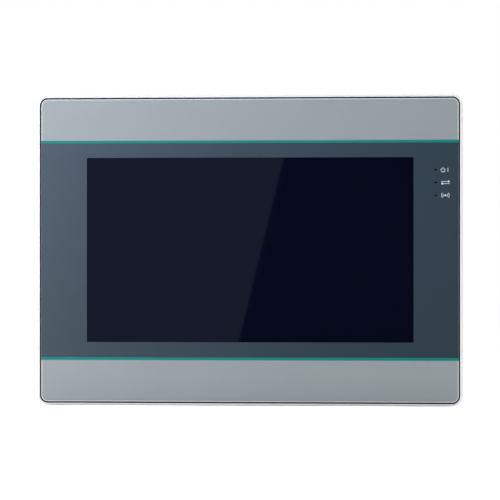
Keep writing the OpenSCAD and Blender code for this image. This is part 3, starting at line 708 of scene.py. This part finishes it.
def rounded_rectangle(width, height, radius, centre=(0, 0), steps=10):
    points = []
    for quarter, (sx, sz) in enumerate(((1, 1), (-1, 1), (-1, -1), (1, -1))):
        corner = (centre[0] + sx * (width / 2 - radius), centre[1] + sz * (height / 2 - radius))
        points += arc(corner, radius, 90 * quarter, 90 * quarter + 90, steps)
    return points


def make_overlay(materials):
    """The printed overlay as one sheet. Its bands are separate faces with crisp shared edges."""
    looks = ("silver", "slate", "teal", "edge_highlight_band")
    width = (overlay_high.x - overlay_low.x) / MM
    height = (overlay_high.z - overlay_low.z) / MM
    outer = rounded_rectangle(width, height, OVERLAY_CORNER)
    print_width, print_height = width - 2 * EDGE_HIGHLIGHT_WIDTH, height - 2 * EDGE_HIGHLIGHT_WIDTH
    inner = rounded_rectangle(print_width, print_height, OVERLAY_CORNER - EDGE_HIGHLIGHT_WIDTH)
    holes = [rounded_rectangle(WINDOW_W, WINDOW_H, WINDOW_CORNER, (WINDOW_RIGHT, WINDOW_UP), 4)]
    slot_x = middle("indicator_lenses").x / MM
    slot_middle = middle("indicator_lenses").z / MM
    slot_w = (lens_high.x - lens_low.x) / MM
    pitch = ((lens_high.z - lens_low.z) / MM - SLOT_H) / 2
    for row in (-1, 0, 1):
        holes.append(rounded_rectangle(slot_w, SLOT_H, SLOT_CORNER, (slot_x, slot_middle + row * pitch), 3))
    points, edges = [], []
    for loop in [outer, inner] + holes:
        first = len(points)
        points += [Vector(p) for p in loop]
        edges += [(first + i, first + (i + 1) % len(loop)) for i in range(len(loop))]
    past_outline = width / 2 + 1
    for z in (TEAL_OUTER, TEAL_INNER, -TEAL_INNER, -TEAL_OUTER):
        first = len(points)
        points += [Vector((-past_outline, z)), Vector((past_outline, z))]
        edges.append((first, first + 1))
    flat, _, faces, _, _, _ = delaunay_2d_cdt(points, edges, [], 0, 1e-5)

    def inside(point, loop):
        """Whether the point is in the loop: a line out of it crosses the loop an odd number of times."""
        crossings = 0
        for (x0, z0), (x1, z1) in zip(loop, loop[1:] + loop[:1]):
            if (z0 > point.y) != (z1 > point.y):
                crossings += point.x < (x1 - x0) * (point.y - z0) / (z1 - z0) + x0
        return crossings % 2 == 1

    mesh = bmesh.new()
    front_y, back_y = overlay_low.y, overlay_high.y
    front = [mesh.verts.new((p.x * MM, front_y, p.y * MM)) for p in flat]
    for face in faces:
        centre = sum((flat[i] for i in face), Vector((0, 0))) / len(face)
        if not inside(centre, outer) or any(inside(centre, hole) for hole in holes):
            continue
        made = mesh.faces.new([front[i] for i in face])
        band = abs(centre.y)
        look = "silver" if band > TEAL_OUTER else "teal" if band > TEAL_INNER else "slate"
        # The silver print's outer strip takes the lighter band, a painted highlight along the cut edge
        if look == "silver" and not inside(centre, inner):
            look = "edge_highlight_band"
        made.material_index = looks.index(look)
    bmesh.ops.delete(mesh, geom=[v for v in mesh.verts if not v.link_faces], context="VERTS")
    bmesh.ops.recalc_face_normals(mesh, faces=mesh.faces)
    if mesh.faces[0].normal.y > 0:
        bmesh.ops.reverse_faces(mesh, faces=mesh.faces)
    bmesh.ops.solidify(mesh, geom=list(mesh.faces), thickness=back_y - front_y)
    lowest = min(v.co.y for v in mesh.verts)
    bmesh.ops.translate(mesh, verts=mesh.verts, vec=(0, front_y - lowest, 0))
    bmesh.ops.recalc_face_normals(mesh, faces=mesh.faces)

    # Only the outline's front edge is rounded: the bands' shared edges and the holes stay crisp
    rim = []
    for edge in mesh.edges:
        centre = (edge.verts[0].co + edge.verts[1].co) / 2
        on_front = all(math.isclose(v.co.y, front_y, abs_tol=0.01 * MM) for v in edge.verts)
        sharp = edge.calc_face_angle(0) > math.radians(50)
        if on_front and sharp and not inside(centre.xz / MM, inner):
            rim.append(edge)
    bmesh.ops.bevel(mesh, geom=rim, offset=OVERLAY_ROUNDING * MM, segments=3, profile=0.5, affect="EDGES")
    data = bpy.data.meshes.new("overlay_print")
    mesh.to_mesh(data)
    mesh.free()
    piece = add_piece("overlay_print", data, [materials[look] for look in looks])
    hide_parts("front_overlay")


# ---------------------------------------------------------------- fine pieces, drawn in millimetres

class Sketch:
    """A bmesh drawn in millimetres that becomes one piece."""

    def __init__(self):
        self.mesh = bmesh.new()

    def ring(self, points):
        """A vertex at each point, in order."""
        return [self.mesh.verts.new(point) for point in points]

    def plate(self, outline, y0, y1):
        """An outline in X and Z, extruded from y0 to y1."""
        near = self.ring((x, y0, z) for x, z in outline)
        far = self.ring((x, y1, z) for x, z in outline)
        self.mesh.faces.new(near)
        self.mesh.faces.new(far[::-1])
        self.skin([near, far])

    def bar(self, x0, x1, z0, z1, y0, y1):
        """A straight block between two corners."""
        self.plate([(x0, z0), (x1, z0), (x1, z1), (x0, z1)], y0, y1)

    def stroke(self, points, width, y0, y1, closed=False):
        """A drawn line of even width through the points, in X and Z."""
        count = len(points)
        sides = ([], [])
        for i, (x, z) in enumerate(points):
            before = points[(i - 1) % count] if closed or i else points[i]
            after = points[(i + 1) % count] if closed or i < count - 1 else points[i]
            along = Vector((after[0] - before[0], after[1] - before[1])).normalized()
            across = Vector((-along.y, along.x)) * width / 2
            sides[0].append((x + across.x, z + across.y))
            sides[1].append((x - across.x, z - across.y))
        for i in range(count if closed else count - 1):
            j = (i + 1) % count
            self.plate([sides[0][i], sides[0][j], sides[1][j], sides[1][i]], y0, y1)

    def tube(self, path, radius):
        """A round wire along a path of points, with closed ends."""
        path = [Vector(p) for p in path]
        rings = []
        for i, point in enumerate(path):
            along = (path[min(i + 1, len(path) - 1)] - path[max(i - 1, 0)]).normalized()
            side = along.cross(Vector((1, 0, 0))).normalized()
            up = along.cross(side)
            rings.append(self.ring(point + side * a + up * b for a, b in circle((0, 0), radius, 8)))
        self.skin(rings)
        self.mesh.faces.new(rings[0][::-1])
        self.mesh.faces.new(rings[-1])

    def skin(self, rings, closed=False):
        """Faces between each ring of vertices and the next."""
        pairs = list(zip(rings, rings[1:])) + ([(rings[-1], rings[0])] if closed else [])
        for first, second in pairs:
            for k in range(len(first)):
                after = (k + 1) % len(first)
                self.mesh.faces.new((first[k], first[after], second[after], second[k]))

    def sleeve(self, centre, inner, outer, z0, z1):
        """A round sleeve along Z at (x, y), open at both ends."""
        corners = ((inner, z0), (outer, z0), (outer, z1), (inner, z1))
        self.skin([self.ring((x, y, z) for x, y in circle(centre, r, 16)) for r, z in corners], closed=True)

    def finish(self, name, materials, body="panel", smooth=None):
        """The piece. smooth is the angle in degrees below which its faces shade as one."""
        bmesh.ops.scale(self.mesh, vec=(MM, MM, MM), verts=self.mesh.verts)
        bmesh.ops.recalc_face_normals(self.mesh, faces=self.mesh.faces)
        data = bpy.data.meshes.new(name)
        self.mesh.to_mesh(data)
        self.mesh.free()
        if smooth:
            data.shade_smooth()
            data.set_sharp_from_angle(angle=math.radians(smooth))
        return add_piece(name, data, materials, body)


def make_icons(materials):
    """Line symbols for power, data traffic and touch beside the indicators."""
    sketch = Sketch()
    depth = (overlay_low.y / MM - ICON_OUT, overlay_low.y / MM + ICON_IN)
    thin = ICON_LINE * 0.9

    power = lens_high.z / MM - SLOT_H / 2
    knob_x, bar_x = ICON_LEFT + 1.0, ICON_LEFT + 3.3
    sketch.stroke(arc((knob_x, power - 0.1), 0.95, 130, 410, 20), ICON_LINE, *depth)
    sketch.stroke([(knob_x, power + 0.1), (knob_x, power + 1.25)], ICON_LINE, *depth)
    sketch.stroke([(bar_x, power - 0.95), (bar_x, power + 0.95)], ICON_LINE, *depth)

    arrow_left, arrow_right = ICON_LEFT + 0.1, ICON_LEFT + 4.2
    arrows_z = middle("indicator_lenses").z / MM
    head_length, head_half = 0.75, 0.62
    for side, tip, tail in ((1, arrow_right, arrow_left), (-1, arrow_left, arrow_right)):
        z = arrows_z + side * 0.5
        neck = tip - side * head_length
        sketch.stroke([(tail, z), (neck, z)], thin, *depth)
        sketch.plate([(tip, z), (neck, z + head_half), (neck, z - head_half)], *depth)

    touch = (ICON_LEFT + 2.1, lens_low.z / MM + SLOT_H / 2)
    sketch.plate(circle(touch, 0.42, 16), *depth)
    for reach in (1.05, 1.8):
        for turn in (0, 180):
            sketch.stroke(arc(touch, reach, turn - 38, turn + 38, 8), thin, *depth)
    sketch.finish("indicator_icons", [materials["white_print"]])


# The cross recess of a screw head: half the width of its arms, its reach as a share of the head's
# radius, its depth, and how much smaller its floor is
CROSS_ARM = 0.28
CROSS_REACH = 0.58
CROSS_DEPTH = 1.1
CROSS_TAPER = 0.7


def cross_outline(reach, arm):
    """A cross-shaped outline with four arms, counter-clockwise."""
    corner = [(reach, -arm), (reach, arm), (arm, arm)]
    points = []
    for cos, sin in ((1, 0), (0, 1), (-1, 0), (0, -1)):
        points += [(x * cos - z * sin, x * sin + z * cos) for x, z in corner]
    return points


def thread_radius(y, turn, tip, seat):
    """The thread's radius at y, at a share of a full turn round the axis. It fades out at both ends."""
    ridge = 1 - abs(2 * (((y - tip) / THREAD_PITCH - turn) % 1) - 1)
    fade = max(0, min(1, (y - tip) / THREAD_PITCH, (seat - y) / (0.7 * THREAD_PITCH)))
    chamfer = 0.25
    cut = 0.3 * max(0, chamfer - (y - tip)) / chamfer
    return THREAD_RADIUS - THREAD_DEPTH + THREAD_DEPTH * min(1, ridge * 1.25) * fade - cut


def screw_shape(sketch, axis, tip, top):
    """A pan-head machine screw along Y at (x, z): helical thread, domed head and cross recess."""
    steps, rings_per_turn = 24, 8
    seat = top - HEAD_HEIGHT
    count = int((seat - tip) / THREAD_PITCH * rings_per_turn)
    rings = []
    for j in range(count + 1):
        y = tip + (seat - tip) * j / count
        ring = []
        for turn in (k / steps for k in range(steps)):
            radius = thread_radius(y, turn, tip, seat)
            ring.append((axis[0] + radius * math.cos(TAU * turn), y, axis[1] + radius * math.sin(TAU * turn)))
        rings.append(sketch.ring(ring))
    dome = 0.55
    head_profile = (
        (HEAD_RADIUS - 0.12, seat), (HEAD_RADIUS, seat + 0.12), (HEAD_RADIUS, top - dome),
        (HEAD_RADIUS - 0.08, top - dome * 0.55), (HEAD_RADIUS - 0.3, top - 0.16), (HEAD_RADIUS - 0.62, top),
    )
    for radius, y in head_profile:
        rings.append(sketch.ring((x, y, z) for x, z in circle(axis, radius, steps)))
    sketch.skin(rings)
    sketch.mesh.faces.new(rings[0][::-1])
    add_cross_recess(sketch, axis, rings[-1], top)


def add_cross_recess(sketch, axis, rim, top):
    """Closes the head inside the ring rim with a flat that leaves a cross, and sinks the cross."""
    reach = HEAD_RADIUS * CROSS_REACH
    cross = [(axis[0] + x, axis[1] + z) for x, z in cross_outline(reach, CROSS_ARM)]
    points = [Vector((v.co.x, v.co.z)) for v in rim] + [Vector(p) for p in cross]
    loops = [range(len(rim)), range(len(rim), len(points))]
    edges = [(loop[i], loop[(i + 1) % len(loop)]) for loop in loops for i in range(len(loop))]
    flat, _, faces, origin, _, _ = delaunay_2d_cdt(points, edges, [], 0, 1e-6)
    mouth = sketch.ring((x, top, z) for x, z in cross)
    corners = rim + mouth
    for face in faces:
        centre = sum((flat[i] for i in face), Vector((0, 0))) / len(face)
        across, up = abs(centre.x - axis[0]), abs(centre.y - axis[1])
        if min(across, up) >= CROSS_ARM or max(across, up) >= reach:
            sketch.mesh.faces.new([corners[origin[i][0]] for i in face])
    floor = sketch.ring((axis[0] + (x - axis[0]) * CROSS_TAPER, top - CROSS_DEPTH,
                         axis[1] + (z - axis[1]) * CROSS_TAPER) for x, z in cross)
    sketch.skin([mouth, floor])
    sketch.mesh.faces.new(floor)


def make_clamp_screws(materials):
    for index in (1, 2, 3, 4):
        node = f"clamp_screw_{index}"
        centre = middle(node) / MM
        sketch = Sketch()
        screw_shape(sketch, (centre.x, centre.z), low(node).y / MM, high(node).y / MM)
        piece = sketch.finish(f"threaded_clamp_screw_{index}", [materials["nickel"]],
                              f"screw_{index}", smooth=32)
        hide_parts(node)


def make_network_contacts(materials):
    """Eight springs in the network socket, each leaning away from its front wall as it goes up."""
    sketch = Sketch()
    face = low("ethernet_insert") / MM
    middle_x = middle("ethernet_insert").x / MM
    spring = ((1.85, 1.0), (1.9, 1.8), (2.6, 4.2), (3.8, 8.2), (4.3, 12.0))
    for i in range(8):
        x = middle_x + (i - 3.5) * NETWORK_PITCH
        sketch.tube([(x, face.y + inward, face.z + up) for inward, up in spring], NETWORK_WIRE_RADIUS)
    sketch.finish("network_contacts", [materials["gold"]], smooth=50)


def make_bus_contacts(materials):
    """Four leaves on the host socket's tongue, and two on each side of the device socket's."""
    sketch = Sketch()
    host_x = high("usb_inserts").x / MM - USB_HOST_W / 2
    half = USB_HOST_LEAF_HALF
    for offset in USB_HOST_LEAVES:
        x = host_x + offset
        sketch.bar(x - half, x + half, *USB_HOST_LEAF_Z, *USB_HOST_LEAF_Y)
    half, half_thickness = USB_DEVICE_LEAF_HALF, 0.1
    for offset in USB_DEVICE_LEAVES:
        for side in (-1, 1):
            x, y = USB_DEVICE[0] + offset, USB_DEVICE[1] + side * USB_DEVICE_TONGUE_HALF
            sketch.bar(x - half, x + half, *USB_DEVICE_LEAF_Z, y - half_thickness, y + half_thickness)
    leaves = sketch.finish("bus_contacts", [materials["gold"]])
    soften_edges(leaves, 0.04, segments=2)


def make_serial_contacts(materials):
    """Nine sleeves in each serial socket, in rows of five and four."""
    sketch = Sketch()
    face = low("serial_inserts").z / MM
    ends = (face + SLEEVE_FROM, face + SLEEVE_TO)
    for centre_x in SERIAL_XS:
        for row, count in ((SERIAL_PIN_ROW, 5), (-SERIAL_PIN_ROW, 4)):
            for i in range(count):
                x = centre_x + (i - (count - 1) / 2) * SERIAL_PIN_PITCH
                sketch.sleeve((x, SERIAL_Y + row), SLEEVE_INNER, SLEEVE_OUTER, *ends)
    sketch.finish("serial_sleeves", [materials["gold"]], smooth=50)


def make_label_print(materials):
    """The rating label's empty form: a border, ruled boxes and a blank field, with no lettering."""
    margin, line, border_corner = 2, 0.28, 1.2
    header_height, rows = 6.5, 4
    label_low, label_high = low("rating_label") / MM, high("rating_label") / MM
    depth = (label_high.y - LABEL_IN, label_high.y + LABEL_OUT)
    left, right = label_low.x + margin, label_high.x - margin
    bottom, top = label_low.z + margin, label_high.z - margin
    centre = ((left + right) / 2, (bottom + top) / 2)
    under_header = top - header_height
    first_column = left + (right - left) * 0.36
    second_column = first_column + (right - first_column) * 0.42
    sketch = Sketch()

    def rule(x0, z0, x1, z1):
        """A line along X or Z, widened on both sides."""
        if z0 == z1:
            sketch.bar(x0, x1, z0 - line / 2, z0 + line / 2, *depth)
        else:
            sketch.bar(x0 - line / 2, x0 + line / 2, z0, z1, *depth)

    border = rounded_rectangle(right - left, top - bottom, border_corner, centre, 4)
    sketch.stroke(border, line, *depth, closed=True)
    rule(left, under_header, right, under_header)
    rule(first_column, bottom, first_column, under_header)
    rule(second_column, bottom, second_column, under_header)
    for i in range(1, rows):
        z = bottom + (under_header - bottom) * i / rows
        rule(first_column, z, right, z)
    sketch.finish("label_form", [materials["label_ink"]])


def make_plug_marks(materials):
    """Plus, minus and earth symbols moulded beside the power plug's poles, on its rear face."""
    sketch = Sketch()
    face = high("terminal_plug").y / MM
    depth = (face - MARK_IN, face + MARK_OUT)
    half_line, half_sign = 0.18, 0.9
    z = PLUG_MARK_Z
    earth, minus, plus = (middle(f"terminal_screw_{index}").x / MM for index in (1, 2, 3))
    for x in (plus, minus):
        sketch.bar(x - half_sign, x + half_sign, z - half_line, z + half_line, *depth)
    for z0, z1 in ((z - half_sign, z - half_line), (z + half_line, z + half_sign)):
        sketch.bar(plus - half_line, plus + half_line, z0, z1, *depth)
    sketch.bar(earth - half_line, earth + half_line, z + 0.25, z + 1.0, *depth)
    for half_width, up in ((0.95, 0.1), (0.62, -0.42), (0.3, -0.94)):
        sketch.bar(earth - half_width, earth + half_width, z + up - half_line, z + up + half_line, *depth)
    sketch.finish("pole_marks", [materials["white_print"]], "power_plug")


# ---------------------------------------------------------------- build

bpy.context.scene.view_settings.view_transform = "Standard"
camera = make_camera()
make_world()
make_lights()
make_reflection_card(camera)
make_floor()
materials = make_materials()
dress_nodes(materials)
make_overlay(materials)
make_icons(materials)
make_clamp_screws(materials)
make_network_contacts(materials)
make_bus_contacts(materials)
make_serial_contacts(materials)
make_label_print(materials)
make_plug_marks(materials)
